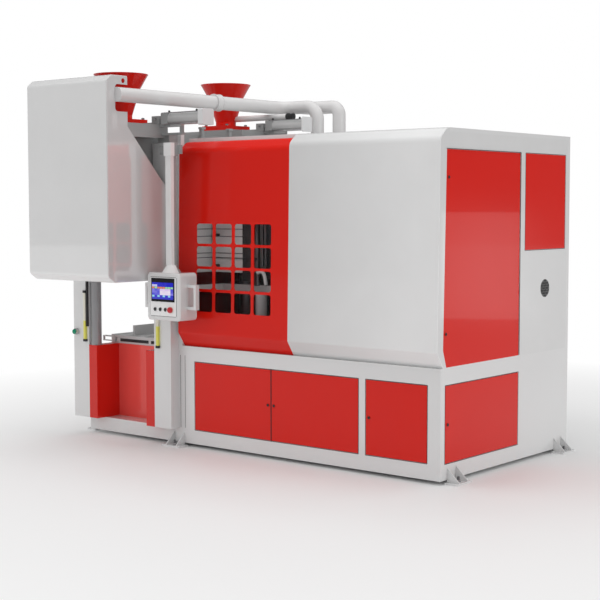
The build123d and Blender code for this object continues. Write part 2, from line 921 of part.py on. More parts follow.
def control_box():
    """The box with rounded corners and softened edges, and a handle on each side."""
    body = rounded_block(
        box_x, box_bottom + box_height / 2, box_width, box_height, box_round,
        box_front, box_front + box_depth
    )
    body = chamfer(body.faces().sort_by(Axis.Y)[0].edges(), box_edge)
    middle_y = box_front + box_depth / 2
    middle_z = box_bottom + box_height / 2
    for side in (-1, 1):
        wall = box_x + side * box_width / 2
        tip = wall + side * handle_reach
        low, high = min(wall, tip), max(wall, tip)
        grip = block(
            low, high, middle_y - handle_depth / 2, middle_y + handle_depth / 2,
            middle_z - handle_height / 2, middle_z + handle_height / 2
        )
        inner_low = low - 1 if side > 0 else low + handle_bar
        inner_high = high - handle_bar if side > 0 else high + 1
        grip -= block(
            inner_low, inner_high, middle_y - handle_depth, middle_y + handle_depth,
            middle_z - handle_height / 2 + handle_bar, middle_z + handle_height / 2 - handle_bar
        )
        body += grip
    return body


def control_face():
    """The face plate with a framed screen and a row of three buttons."""
    plate_z = box_bottom + box_height / 2
    plate = block(
        box_x - face_width / 2, box_x + face_width / 2, box_front - face_proud, box_front,
        plate_z - face_height / 2, plate_z + face_height / 2
    )
    screen_z = plate_z + face_height / 2 - bezel_height / 2 - 2 * face_proud
    plate += block(
        box_x - bezel_width / 2, box_x + bezel_width / 2,
        box_front - 3 * face_proud, box_front - face_proud,
        screen_z - bezel_height / 2, screen_z + bezel_height / 2
    )
    for n in range(1, button_count + 1):
        plate += panel_button(n, button_radius, button_reach)
    return plate


def panel_button(place, radius, reach):
    """A round push button on the face plate, in the given place of its row."""
    x = box_x - face_width / 2 + place * face_width / (button_count + 2)
    z = box_bottom + (box_height - face_height) / 2 + button_row_up
    return Pos(x, box_front - face_proud - reach / 2, z) * Rot(90, 0, 0) * Cylinder(radius, reach)


def stop_button():
    return panel_button(button_count + 1, stop_radius, stop_reach)


def light_curtains():
    """Two light curtain bars on the posts, each with a foot and a head cap."""
    bars = []
    for x in (curtain_left_x, curtain_right_x):
        half = curtain_width / 2
        front = -post_depth - curtain_depth
        bar = block(x - half, x + half, front, -post_depth, curtain_bottom, curtain_top)
        half += curtain_cap_proud
        for z in (curtain_bottom, curtain_top - curtain_cap):
            bar += block(
                x - half, x + half, front - curtain_cap_proud, -post_depth, z, z + curtain_cap
            )
        bars.append(bar)
    return Compound(bars)


def stop_bar():
    """The dark flat bar on the left post beside the column."""
    right = -post_left_at + post_width / 2
    return block(
        right - stop_bar_width, right, -post_depth - stop_bar_thick, -post_depth,
        stop_bar_bottom, head_bottom
    )


def push_lamp():
    """A green lamp button with its ring on the left post."""
    front = -post_depth - lamp_ring_reach
    ring = Cylinder(lamp_radius, lamp_ring_reach)
    lamp = Pos(lamp_x, front + lamp_ring_reach / 2, lamp_z) * Rot(90, 0, 0) * ring
    dome = Cylinder(lamp_dome_radius, lamp_dome_reach)
    dome = chamfer(dome.faces().sort_by(Axis.Z)[-1].edges(), lamp_dome_edge)
    dome = Pos(lamp_x, front - lamp_dome_reach / 2, lamp_z) * Rot(90, 0, 0) * dome
    return lamp + dome


add("base_frame", base_frame())
add("foot_brackets", foot_brackets())
add("cabinet_front_frame", cabinet_front_frame())
add("cabinet_right_frame", cabinet_right_frame())
add("cabinet_walls", cabinet_walls())
add("machine_deck", machine_deck())
seam_left = double_door_seam + door_gap / 2
seam_right = double_door_seam - door_gap / 2
add("front_door_left", front_door(double_door_left, seam_left, -seam_left - lock_inset))
add("front_door_right", front_door(seam_right, double_door_right, -seam_right + lock_inset))
add("front_door_small", front_door(small_door_left, small_door_right, -small_door_left + lock_inset))
add("side_door_lower", side_door_lower())
add("hood_red", hood_red())
add("hood_white", hood_white())
add("window_glass", window_glass())
add("upper_right_wall", upper_right_wall())
add("side_door_tall", side_door_tall())
add("side_panel_narrow", side_panel_narrow())
add("upper_left_wall", upper_left_wall())
add("upper_rear_wall", upper_rear_wall())
add("roof_panel", roof_panel())
add("mould_flask", mould_flask())
add("squeeze_table", squeeze_table())
add("guide_columns", guide_columns())
add("press_cylinder", press_cylinder())
add("post_left", post(post_left_at, -post_depth))
add("post_right", post(post_right_at, -post_depth))
add("posts_rear", posts_rear())
add("station_guard", station_guard())
add("station_column", station_column())
add("station_table", station_table())
add("table_rails", table_rails())
add("stop_bar", stop_bar())
add("head_frame", head_frame())
add("head_cover", head_cover())
add("hoppers", Compound([hopper(middle).solid() for middle in hopper_y]))
add("funnel_front", funnel(hopper_y[0]))
add("funnel_rear", funnel(hopper_y[1]))
gates = [gate_cylinder(*pair).solid() for pair in zip(hopper_y, gate_cap_long)]
add("gate_cylinders", Compound(gates))
add("air_pipe_front", air_pipe_front())
add("air_pipe_rear", air_pipe_rear())
add("control_pole", control_pole())
add("control_box", control_box())
add("control_face", control_face())
add("stop_button", stop_button())
add("light_curtains", light_curtains())
add("push_lamp", push_lamp())

os.makedirs("parts", exist_ok=True)
for name, shape in nodes.items():
    solids = [solid.moved(to_origin) for solid in shape.solids()]
    export_step(Compound(solids) if len(solids) > 1 else solids[0], f"parts/{name}.step")
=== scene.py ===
import bpy
import json
import math
import numpy as np
from mathutils import Matrix, Vector


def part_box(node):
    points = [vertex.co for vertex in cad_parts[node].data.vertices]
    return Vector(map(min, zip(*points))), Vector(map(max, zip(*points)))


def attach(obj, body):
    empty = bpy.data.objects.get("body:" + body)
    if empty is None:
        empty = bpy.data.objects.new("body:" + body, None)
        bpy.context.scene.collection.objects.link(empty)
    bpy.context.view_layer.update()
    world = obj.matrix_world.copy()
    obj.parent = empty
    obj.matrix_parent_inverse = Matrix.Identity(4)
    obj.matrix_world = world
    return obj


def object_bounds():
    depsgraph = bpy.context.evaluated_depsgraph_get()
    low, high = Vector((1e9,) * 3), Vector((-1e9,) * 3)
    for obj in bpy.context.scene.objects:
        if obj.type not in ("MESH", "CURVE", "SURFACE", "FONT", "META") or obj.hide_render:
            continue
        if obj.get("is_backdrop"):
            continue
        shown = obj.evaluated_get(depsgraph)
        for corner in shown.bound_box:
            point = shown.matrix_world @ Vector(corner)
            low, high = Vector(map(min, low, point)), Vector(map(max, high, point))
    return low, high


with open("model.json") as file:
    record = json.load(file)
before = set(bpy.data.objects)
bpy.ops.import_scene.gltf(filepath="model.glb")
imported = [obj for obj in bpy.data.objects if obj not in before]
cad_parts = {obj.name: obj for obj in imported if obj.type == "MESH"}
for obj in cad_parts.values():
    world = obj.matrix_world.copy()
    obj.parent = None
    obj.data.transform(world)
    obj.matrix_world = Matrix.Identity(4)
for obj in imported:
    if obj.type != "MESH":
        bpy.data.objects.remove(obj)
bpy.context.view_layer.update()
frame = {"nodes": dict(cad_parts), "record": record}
nodes = frame["nodes"]
scene = bpy.context.scene
scene.view_settings.view_transform = "Standard"


# Node materials, written as expressions

class Value:
    """A value that varies over a surface. Arithmetic on it adds Math nodes to its tree."""

    def __init__(self, nodes, socket):
        self.nodes = nodes
        self.socket = socket

    def math(self, operation, *others):
        return self.nodes.node(
            "ShaderNodeMath", {"operation": operation}, dict(enumerate((self, *others)))
        )

    def __add__(self, other):
        return self.math("ADD", other)

    __radd__ = __add__

    def __sub__(self, other):
        return self.math("SUBTRACT", other)

    def __rsub__(self, other):
        return (self * -1).math("ADD", other)

    def __mul__(self, other):
        return self.math("MULTIPLY", other)

    __rmul__ = __mul__

    def __truediv__(self, other):
        return self.math("DIVIDE", other)

    def __pow__(self, other):
        return self.math("POWER", other)

    def __gt__(self, other):
        return self.math("GREATER_THAN", other)

    def __lt__(self, other):
        return self.math("LESS_THAN", other)

    def __mod__(self, other):
        return self.math("FLOORED_MODULO", other)

    def __abs__(self):
        return self.math("ABSOLUTE")

    def floor(self):
        return self.math("FLOOR")

    def least(self, other):
        return self.math("MINIMUM", other)

    def most(self, other):
        return self.math("MAXIMUM", other)

    def between(self, low, high):
        """0 at low and 1 at high, held at those ends."""
        return self.nodes.node(
            "ShaderNodeMapRange", {"clamp": True},
            {"Value": self, "From Min": low, "From Max": high}
        )


class Nodes:
    """A node tree. Its nodes come from node(), and its Math nodes from arithmetic on values."""

    def __init__(self, owner):
        owner.use_nodes = True
        self.tree = owner.node_tree
        self.tree.nodes.clear()

    def feed(self, socket, item):
        if isinstance(item, Value):
            self.tree.links.new(item.socket, socket)
        elif isinstance(item, tuple) and len(item) == 3 and socket.type == "RGBA":
            socket.default_value = (*item, 1.0)
        else:
            socket.default_value = item

    def node(self, kind, settings=None, sockets=None, out=0):
        """A node of any kind: its settings first, then the values or links of its sockets."""
        node = self.tree.nodes.new(kind)
        for name, value in (settings or {}).items():
            setattr(node, name, value)
        for name, item in (sockets or {}).items():
            self.feed(node.inputs[name], item)
        return Value(self, node.outputs[out])


class Finish(Nodes):
    """One material with a Principled surface."""

    def __init__(self, name, **plain):
        self.material = bpy.data.materials.new(name)
        super().__init__(self.material)
        self.surface = self.tree.nodes.new("ShaderNodeBsdfPrincipled")
        self.shader = Value(self, self.surface.outputs[0])
        self.output = self.tree.nodes.new("ShaderNodeOutputMaterial")
        self.show(self.shader)
        for socket, value in plain.items():
            self.set(socket.replace("_", " "), value)

    def show(self, shader):
        self.feed(self.output.inputs["Surface"], shader)

    def set(self, socket, item):
        self.feed(self.surface.inputs[socket], item)

    def place(self):
        """The point on the piece in metres, in the machine's own frame."""
        return self.node("ShaderNodeTexCoord", out="Object")

    def axis(self, letter):
        return self.node("ShaderNodeSeparateXYZ", {}, {"Vector": self.place()}, out=letter)

    def noise(self, scale, detail=2.0, stretch=(1, 1, 1)):
        where = self.node(
            "ShaderNodeVectorMath", {"operation": "MULTIPLY"}, {0: self.place(), 1: stretch}
        )
        return self.node(
            "ShaderNodeTexNoise", {}, {"Vector": where, "Scale": scale, "Detail": detail}
        )

    def mix(self, share, first, second):
        """A colour that goes from first to second as share goes from 0 to 1."""
        return self.node("ShaderNodeMix", {"data_type": "RGBA"}, {0: share, 6: first, 7: second}, out=2)

    def bump(self, height, strength, distance):
        self.set("Normal", self.node(
            "ShaderNodeBump", {}, {"Height": height, "Strength": strength, "Distance": distance}
        ))


def enamel(name, colour, shade, roughness, coat, shine=0.5, peel=0.05):
    """Sprayed enamel: a faint cloudiness, dust towards the floor and the skin of dried paint."""
    paint = Finish(name, Coat_Weight=coat, Coat_Roughness=0.03, Specular_IOR_Level=shine)
    cloud = paint.noise(1.3, 3.0)
    dust = 1 - paint.axis("Z").between(0.0, 0.3)
    share = (cloud.between(0.35, 0.75) * 0.5 + dust * paint.noise(38.0, 4.0) * 0.25).least(1.0)
    paint.set("Base Color", paint.mix(share, colour, shade))
    paint.set("Roughness", paint.noise(9.0, 2.0) * 0.06 + (roughness - 0.03) + dust * 0.05)
    paint.bump(paint.noise(260.0, 1.0), peel, 0.0004)
    return paint


def machined(name, colour, shade, roughness, metallic=1.0):
    """Turned or ground metal with fine upright lines and a few dull patches."""
    steel = Finish(name, Metallic=metallic)
    lines = steel.noise(1.0, 2.0, stretch=(220, 220, 6))
    patches = steel.noise(6.0, 3.0)
    steel.set("Base Color", steel.mix(lines * 0.5 + patches * 0.4, colour, shade))
    steel.set("Roughness", patches * 0.12 + lines * 0.08 + (roughness - 0.1))
    steel.bump(lines, 0.08, 0.0004)
    return steel


def moulded(name, colour, shade, roughness):
    """Moulded plastic with a fine even grain."""
    plastic = Finish(name)
    grain = plastic.noise(900.0, 1.0)
    cloud = plastic.noise(14.0, 3.0).between(0.3, 0.7)
    plastic.set("Base Color", plastic.mix(cloud, colour, shade))
    plastic.set("Roughness", grain * 0.1 + (roughness - 0.05))
    plastic.bump(grain, 0.1, 0.0003)
    return plastic


def two_tone(paint, share, first, second):
    """Gives a finish one colour where share is 0 and another where it is 1, each a little clouded."""
    cloud = paint.noise(3.0, 3.0)
    clouded = [
        paint.mix(cloud, colour, tuple(channel * 0.93 for channel in colour)) for colour in (first, second)
    ]
    paint.set("Base Color", paint.mix(share, *clouded))
    return paint


# Colours, and the finishes that many nodes share

white_colour, white_shade = (0.76, 0.76, 0.76), (0.73, 0.73, 0.735)
grey_colour, grey_shade = (0.36, 0.365, 0.365), (0.31, 0.31, 0.31)
red_colour, red_shade = (0.72, 0.012, 0.005), (0.68, 0.010, 0.004)
black_colour = (0.016, 0.016, 0.018)
green_lens_colour = (0.005, 0.30, 0.16)

white_enamel = enamel("white_enamel", white_colour, white_shade, 0.2, 0.8)
grey_enamel = enamel("grey_enamel", grey_colour, grey_shade, 0.30, 0.15)
red_enamel = enamel("red_enamel", red_colour, red_shade, 0.2, 0.3, 0.15)
pipe_skin = enamel("pipe_skin", (0.70, 0.69, 0.69), (0.66, 0.65, 0.65), 0.16, 0.3)
dark_steel = machined("dark_steel", (0.26, 0.26, 0.27), (0.16, 0.16, 0.17), 0.32)
bright_steel = machined("bright_steel", (0.62, 0.62, 0.63), (0.5, 0.5, 0.51), 0.22)
black_plastic = moulded("black_plastic", black_colour, (0.028, 0.028, 0.03), 0.45)
stop_red = moulded("stop_red", (0.60, 0.02, 0.03), (0.54, 0.018, 0.024), 0.3)
lens_green = moulded("lens_green", green_lens_colour, (0.004, 0.24, 0.12), 0.12)


# Where a paint changes on its node, in metres

hair = 0.0006
guard_leg = 0.103
guard_panel_deep = 0.02
vent_y, vent_z, vent_reach = 0.572, 1.396, 0.074
flask_foot = 1.5
left_wall_gap = 0.053
cover_painted_shade_band = 0.008
pole_cap_side = 0.084
panel_plate = 0.003
curtain_cap = 0.022
yellow_reach = 0.19
gate_barrel = 0.42
gate_cap = 0.056
lamp_ring = 0.019


def corners(node):
    low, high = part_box(node)
    return np.array(low), np.array(high)


def left_wall_paint():
    """White enamel outside. The inner face is red darkened as painted shade below the flask's foot, and
    plain grey above it.
    """
    flask_low, _ = corners("mould_flask")
    paint = enamel("left_wall_paint", white_colour, white_shade, 0.22, 0.3)
    inside = paint.axis("X") > flask_low[0] - left_wall_gap
    above = paint.axis("Z") > flask_foot
    outer = paint.mix(paint.noise(3.0), white_colour, white_shade)
    # Painted shade: below the flask's foot the inner face's red is darkened nearly to black.
    inner = paint.mix(above, (0.075, 0.001, 0.001), (0.42, 0.43, 0.43))
    paint.set("Base Color", paint.mix(inside, outer, inner))
    return paint


def guard_paint():
    """Red enamel, painted paler on the recessed face between its legs: a painted reflection of the light
    that face looks out on.
    """
    low, _ = corners("station_guard")
    paint = enamel("guard_paint", red_colour, red_shade, 0.2, 0.4, 0.3)
    past_leg = paint.axis("X") > low[0] + guard_leg + hair
    # Painted reflection: the recessed face between the legs is given a paler red.
    painted_reflection_panel = past_leg * (paint.axis("Y") > low[1] + guard_panel_deep)
    return two_tone(paint, painted_reflection_panel, red_colour, (0.92, 0.10, 0.085))


def hood_paint():
    """White enamel painted brighter towards the housing's right corner, as painted light."""
    paint = enamel("hood_paint", white_colour, white_shade, 0.2, 0.8)
    # Painted light: the white goes from 0.70 to 0.90 towards the right corner.
    return two_tone(paint, paint.axis("X").between(0.4, 1.7), (0.70, 0.70, 0.70), (0.90, 0.90, 0.90))


def vent_wall_paint():
    """White enamel whose pierced vent is darkened all over as one disc; its holes are not drawn."""
    paint = enamel("vent_wall_paint", white_colour, white_shade, 0.2, 0.8)
    across, up = paint.axis("Y") - vent_y, paint.axis("Z") - vent_z
    mesh = ((across * across + up * up) ** 0.5) < vent_reach
    return two_tone(paint, mesh, white_colour, (0.11, 0.11, 0.11))


def cover_paint():
    """White enamel under a thick clear coat that mirrors what stands beside it. It is painted lighter than
    the other white enamel as painted light, and darker on its right end face as painted shade.
    """
    _, high = corners("head_cover")
    paint = enamel("cover_paint", white_colour, white_shade, 0.2, 1.0)
    paint.set("Coat IOR", 2.2)
    # Painted light on the cover's face, painted shade on its right end face.
    side = paint.axis("X").between(high[0] - cover_painted_shade_band, high[0] - hair)
    return two_tone(paint, side, (0.88, 0.88, 0.88), (0.66, 0.65, 0.65))


def pole_paint():
    """White enamel on the pole and its cone, painted lighter than the other white enamel as painted light,
    and painted grey as painted shade on the part that reaches back behind the pole.
    """
    low, _ = corners("control_pole")
    paint = enamel("pole_paint", white_colour, white_shade, 0.22, 0.3)
    # Painted shade: the part behind the pole is painted grey; painted light: the pole's white is lighter
    # than the other white enamel.
    bracket_painted_shade = paint.axis("Y") > low[1] + pole_cap_side + hair
    return two_tone(paint, bracket_painted_shade, (0.92, 0.92, 0.92), grey_colour)


def panel_paint():
    """A white face plate with a black bezel and black button caps standing proud of it."""
    _, high = corners("control_face")
    paint = Finish("panel_paint", Specular_IOR_Level=0.12)
    proud = paint.axis("Y") < high[1] - panel_plate - hair
    paint.set("Roughness", paint.noise(60.0, 2.0) * 0.05 + 0.2)
    return two_tone(paint, proud, (0.95, 0.95, 0.95), black_colour)


def curtain_paint():
    """Ivory above and safety yellow below, with black end caps."""
    low, high = corners("light_curtains")
    paint = moulded("curtain_paint", black_colour, black_colour, 0.35)
    up = paint.axis("Z")
    capped = (up < low[2] + curtain_cap).most(up > high[2] - curtain_cap)
    bar = paint.mix(up > low[2] + yellow_reach, (0.80, 0.76, 0.10), (0.80, 0.78, 0.66))
    clouded = paint.mix(paint.noise(30.0, 2.0) * 0.1, bar, white_shade)
    paint.set("Base Color", paint.mix(capped, clouded, black_colour))
    return paint


def gate_paint():
    """Grey enamel that is lighter on the cylinders' barrels and lightest on their end caps."""
    _, high = corners("gate_cylinders")
    paint = enamel("gate_paint", grey_colour, grey_shade, 0.26, 0.2)
    right = paint.axis("X")
    barrel = paint.mix(right > high[0] - gate_barrel, grey_colour, (0.50, 0.50, 0.50))
    paint.set("Base Color", paint.mix(right > high[0] - gate_cap, barrel, white_shade))
    return paint


def lamp_paint():
    """A chromed ring round a green lens."""
    _, high = corners("push_lamp")
    paint = Finish("lamp_paint")
    lens = paint.axis("Y") < high[1] - lamp_ring
    paint.set("Metallic", 1 - lens)
    paint.set("Roughness", paint.noise(90.0, 2.0) * 0.08 + 0.1)
    return two_tone(paint, lens, (0.75, 0.75, 0.76), green_lens_colour)


def window_pane():
    """Clear sheet: see-through with the faintest film of dust."""
    pane = Finish("window_pane", Roughness=0.08, Specular_IOR_Level=0.1)
    pane.set("Base Color", (0.2, 0.21, 0.21))
    pane.set("Alpha", pane.noise(5.0, 3.0) * 0.03 + 0.01)
    return pane


slot_finish = {
    "white_paint": white_enamel,
    "red_paint": red_enamel,
    "grey_steel": grey_enamel,
    "dark_steel": dark_steel,
    "pipe_white": pipe_skin,
    "black_plastic": black_plastic,
    "screen_black": panel_paint(),
    "red_plastic": stop_red,
    "curtain_yellow": curtain_paint(),
    "lamp_green": lamp_paint(),
    "clear_glass": window_pane(),
}
node_finish = {
    "upper_left_wall": left_wall_paint(),
    "station_guard": guard_paint(),
    "hood_white": hood_paint(),
    "head_cover": cover_paint(),
    "upper_right_wall": vent_wall_paint(),
    "station_column": machined("column_steel", (0.42, 0.42, 0.43), (0.33, 0.33, 0.34), 0.34, metallic=0.5),
    "station_table": enamel("table_paint", (0.62, 0.62, 0.62), (0.56, 0.56, 0.56), 0.3, 0.2),
    "table_rails": enamel("rail_paint", (0.60, 0.60, 0.60), (0.54, 0.54, 0.54), 0.3, 0.2),
    "control_pole": pole_paint(),
    "gate_cylinders": gate_paint(),
    "mould_flask": enamel("flask_paint", (0.74, 0.75, 0.75), (0.66, 0.67, 0.67), 0.3, 0.2),
}
for part in frame["record"]["subparts"]:
    name = part["node"]
    finish = node_finish.get(name, slot_finish[part["material_slot"]])
    nodes[name].data.materials.clear()
    nodes[name].data.materials.append(finish.material)


# Surfaces computed as arrays of points

x_way, y_way, z_way = np.eye(3)


def lay(name, skin, finish, body="machine"):
    """A piece from its points and faces. It moves with a body and takes one finish."""
    points, faces = skin
    mesh = bpy.data.meshes.new(name)
    mesh.from_pydata(points.tolist(), [], faces)
    mesh.shade_smooth()
    mesh.set_sharp_from_angle(angle=math.radians(32))
    mesh.materials.append(finish.material)
    thing = bpy.data.objects.new(name, mesh)
    scene.collection.objects.link(thing)
    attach(thing, body)


def ring_faces(rows, columns, closed):
    """Quads between each ring of points and the next. Closed joins the last ring to the first."""
    last = rows if closed else rows - 1
    row, column = np.meshgrid(np.arange(last), np.arange(columns), indexing="ij")
    after, above = (column + 1) % columns, (row + 1) % rows
    return np.stack([
        row * columns + column, row * columns + after, above * columns + after, above * columns + column
    ], axis=-1).reshape(-1, 4)


def capped(rings):
    """The skins of closed pieces from rings[piece, row, column]: fans close the two end rings."""
    pieces, rows, columns = rings.shape[:3]
    middles = np.stack([rings[:, 0].mean(axis=1), rings[:, -1].mean(axis=1)], axis=1)
    points = np.concatenate([rings.reshape(pieces, -1, 3), middles], axis=1)
    each = rows * columns + 2
    around = np.arange(columns)
    after = (around + 1) % columns
    top = (rows - 1) * columns
    bottom_fan = np.stack([np.full(columns, each - 2), after, around], axis=-1)
    top_fan = np.stack([np.full(columns, each - 1), top + around, top + after], axis=-1)
    fans = np.concatenate([bottom_fan, top_fan])
    starts = (np.arange(pieces) * each)[:, None, None]
    quads = (ring_faces(rows, columns, False) + starts).reshape(-1, 4)
    return points.reshape(-1, 3), quads.tolist() + (fans + starts).reshape(-1, 3).tolist()


def looped(rings):
    """The skins of closed tubes from rings[piece, row, column]: the last ring joins the first."""
    pieces, rows, columns = rings.shape[:3]
    starts = (np.arange(pieces) * rows * columns)[:, None, None]
    quads = (ring_faces(rows, columns, True) + starts).reshape(-1, 4)
    return rings.reshape(-1, 3), quads.tolist()


def unit(vectors):
    vectors = np.asarray(vectors, float)
    return vectors / np.linalg.norm(vectors, axis=-1, keepdims=True)


def circle(radius, count):
    """Points (radius * cos t, radius * sin t), with t in even steps round one turn."""
    turn = np.arange(count) * 2 * math.pi / count
    return np.stack([np.cos(turn), np.sin(turn)], axis=-1) * radius


def turned(profile, spots, axis, sides=28):
    """Turned pieces: point = spot + height * axis + radius * (cos t * u + sin t * v).

    profile holds (radius, height) pairs, t runs round the axis, and u and v stand square to it.
    """
    axis = unit(axis)
    u = unit(np.cross(axis, z_way if abs(axis[2]) < 0.9 else x_way))
    v = np.cross(axis, u)
    radius, height = np.array(profile, float).T
    spread = circle(1.0, sides) @ np.stack([u, v])
    shape = height[:, None, None] * axis + radius[:, None, None] * spread
    return capped(np.array(spots, float).reshape(-1, 1, 1, 3) + shape)


def span(x, y, z):
    """A block's low and high corners, from where it starts and ends along each axis."""
    return list(zip(x, y, z))


def rounded(blocks, radius):
    """Blocks with rounded edges: point = middle + sign * (half - radius) + radius * n(lift, turn).

    n is a unit ball's point. Each of its eight parts goes with one corner, whose sign it has.
    """
    blocks = np.array(blocks, float)
    middle, half = blocks.mean(axis=1), (blocks[:, 1] - blocks[:, 0]) / 2
    lift = np.radians([-78, -40, 0, 0, 40, 78])
    turn = np.radians(np.add.outer([0, 90, 180, 270], [2, 45, 88])).ravel()
    n = np.stack([
        np.cos(lift)[:, None] * np.cos(turn), np.cos(lift)[:, None] * np.sin(turn),
        np.sin(lift)[:, None] * np.ones_like(turn)
    ], axis=-1)
    sign = np.sign(n)
    sign[..., 2] = np.repeat([-1.0, 1.0], 3)[:, None]
    reach = (half - radius)[:, None, None, :]
    return capped(middle[:, None, None, :] + sign * reach + radius * n)


def banded(loop, normal, section):
    """A closed band: point = loop(s) + a(t) * side(s) + b(t) * normal, with side = tangent x normal.

    section holds the (a, b) pairs of the band's outline.
    """
    tangent = unit(np.roll(loop, -1, axis=0) - np.roll(loop, 1, axis=0))
    side = np.cross(tangent, normal)
    a, b = np.array(section, float).T
    return looped((loop[:, None] + a[:, None] * side[:, None] + b[:, None] * normal)[None])


def rod(path, radius, sides=14):
    """A round hose: point = path(s) + radius * (cos t * side + sin t * up), both square to the path."""
    tangent = unit(np.gradient(path, axis=0))
    side = unit(np.cross(tangent, [0.31, 0.23, 0.92]))
    up = np.cross(tangent, side)
    return capped((path[:, None] + circle(radius, sides) @ np.stack([side, up], axis=1))[None])


def flat_loop(low, high, round_off, across, level, steps=6):
    """An upright rounded rectangle: point = middle + sign * (half - round_off) + round_off * (cos t, sin t).

    t runs once round, and sign is that of its quarter. Across is 0 or 1 for a loop along X or Y, and
    level is its place on the other of those two axes.
    """
    turn = np.add.outer(np.arange(4) * math.pi / 2, np.linspace(0, math.pi / 2, steps)).ravel()
    sign = np.repeat([(1, 1), (-1, 1), (-1, -1), (1, -1)], steps, axis=0)
    low, high = np.array(low), np.array(high)
    outline = (low + high) / 2 + sign * ((high - low) / 2 - round_off)
    outline += round_off * np.stack([np.cos(turn), np.sin(turn)], axis=-1)
    points = np.full((len(turn), 3), float(level))
    points[:, across] = outline[:, 0]
    points[:, 2] = outline[:, 1]
    return points


def seam(node, facing, grown, sunk, round_off=0.004):
    """A flat loop just outside a panel's edges, sunk behind the face that looks along facing."""
    low, high = corners(node)
    still = int(np.argmax(np.abs(facing)))
    across = 1 - still
    face = high[still] if facing[still] > 0 else low[still]
    return flat_loop(
        (low[across] - grown, low[2] - grown), (high[across] + grown, high[2] + grown), round_off,
        across, face - sunk * facing[still]
    )


def strip(half_wide, deep, proud):
    """A band's outline as a flat strip, with its back this deep below the loop and its face this proud."""
    return [(-half_wide, -deep), (half_wide, -deep), (half_wide, proud), (-half_wide, proud)]


# Anchor bolts in the foot brackets

millimetre = 0.001
plate_top = 0.014
washer_top = plate_top + 0.003
nut_top = plate_top + 0.018


def anchor_spots():
    """The middles of the six anchor holes, from the record's mounts."""
    mounts = {mount["name"]: mount for mount in frame["record"]["mounts"]}
    ends = mounts["anchor_bolts"]["dims"]
    middle = mounts["middle_anchor_bolts"]
    half_x = ends["spacing_x_mm"] * millimetre / 2
    half_y = ends["spacing_y_mm"] * millimetre / 2
    reach = middle["dims"]["spacing_y_mm"] * millimetre / 2
    x = middle["pos_m"][0]
    spots = [(x_side * half_x, y_side * half_y, 0.0) for x_side in (-1, 1) for y_side in (-1, 1)]
    return spots + [(x, -reach, 0.0), (x, reach, 0.0)]


anchors = anchor_spots()
lay("anchor_washers", turned([
    (0.019, plate_top), (0.019, washer_top), (0.0105, washer_top + 0.0002)
], anchors, z_way), bright_steel)
lay("anchor_nuts", turned([
    (0.0158, washer_top), (0.0172, washer_top + 0.0015), (0.0172, nut_top - 0.0015), (0.0158, nut_top)
], anchors, z_way, sides=6), bright_steel)
thread = [(0.0097 + 0.0004 * (n % 2), nut_top + 0.0015 * n) for n in range(14)]
thread_end = (0.0085, nut_top + 0.023)
lay("anchor_studs", turned(thread + [thread_end], anchors, z_way, sides=16), dark_steel)


# Doors and side panels: dark seals in their seams, and the vent's lining

lock_proud = 0.005
door_seal_out = 0.0055
door_seal = strip(0.0018, 0.002, 0.0008)
for door in ("front_door_left", "front_door_right", "front_door_small"):
    loop = seam(door, -y_way, door_seal_out, lock_proud)
    lay(door + "_seal", banded(loop, -y_way, door_seal), black_plastic)
side_loop = seam("side_door_lower", x_way, door_seal_out, lock_proud)
lay("side_door_lower_seal", banded(side_loop, x_way, door_seal), black_plastic)
narrow_loop = seam("side_panel_narrow", x_way, 0.0035, 0.0)
lay("side_panel_narrow_seal", banded(narrow_loop, x_way, strip(0.0022, 0.003, 0.001)), black_plastic)

tall_low, tall_high = corners("side_door_tall")
seal_near, seal_far = 0.001, 0.0055
seal_x = (tall_high[0] - 0.003, tall_high[0] + 0.001)
seal_top = (tall_high[2] + seal_near, tall_high[2] + seal_far)
seal_back = (tall_high[1] + seal_near, tall_high[1] + seal_far)
lay("side_door_tall_seal", rounded([
    span(seal_x, (tall_low[1] + 0.030, tall_high[1] + 0.004), seal_top),
    span(seal_x, seal_back, (tall_low[2] + 0.004, seal_top[1])),
], 0.0008), black_plastic)

vent_middle = (corners("upper_right_wall")[1][0], vent_y, vent_z)
lay("vent_lining", turned(
    [(0.0785, -0.0115), (0.0785, -0.0048)], [vent_middle], x_way, sides=48
), black_plastic)


# Doors: the turned inserts of their quarter turn locks, each with a round hollow

lock_profile = [(0.0118, -0.001), (0.0118, 0.0012), (0.0102, 0.0022), (0.0045, 0.0022), (0.004, 0.0004)]
lock_in, lock_z = 0.030, 0.446


def lock_insert(leaf, spot, facing):
    lay(leaf + "_lock", turned(lock_profile, [spot], facing), black_plastic, leaf)


low, high = corners("front_door_left")
lock_insert("left_leaf", (high[0] - lock_in, low[1], lock_z), -y_way)
low, high = corners("front_door_right")
lock_insert("right_leaf", (low[0] + lock_in, low[1], lock_z), -y_way)
low, high = corners("front_door_small")
lock_insert("small_leaf", (low[0] + lock_in, low[1], lock_z), -y_way)
low, high = corners("side_door_lower")
lock_insert("side_leaf", (high[0], low[1] + lock_in, lock_z), x_way)

lower_lock = (tall_high[0], tall_low[1] + 0.0332, 1.126)
upper_lock = (tall_high[0], tall_low[1] + 0.0610, 2.285)
lay("tall_door_locks", turned(lock_profile, [lower_lock, upper_lock], x_way), black_plastic)


# Control box: screen, button rings and the stop button's mushroom

face_low, face_high = corners("control_face")
bezel_front = face_high[1] - 0.009
bezel_top = face_high[2] - 0.006
bezel_foot = bezel_top - 0.196
screen_side, screen_brow, screen_foot = 0.026, 0.036, 0.020
screen_x = (face_low[0] + screen_side, face_high[0] - screen_side)
screen_z = (bezel_foot + screen_foot, bezel_top - screen_brow)
screen_proud = 0.0012
tiles = 8


def within(value, first, last):
    """1 where a row's or column's whole number is from first to last."""
    return (value > first - 0.5) * (value < last + 0.5)


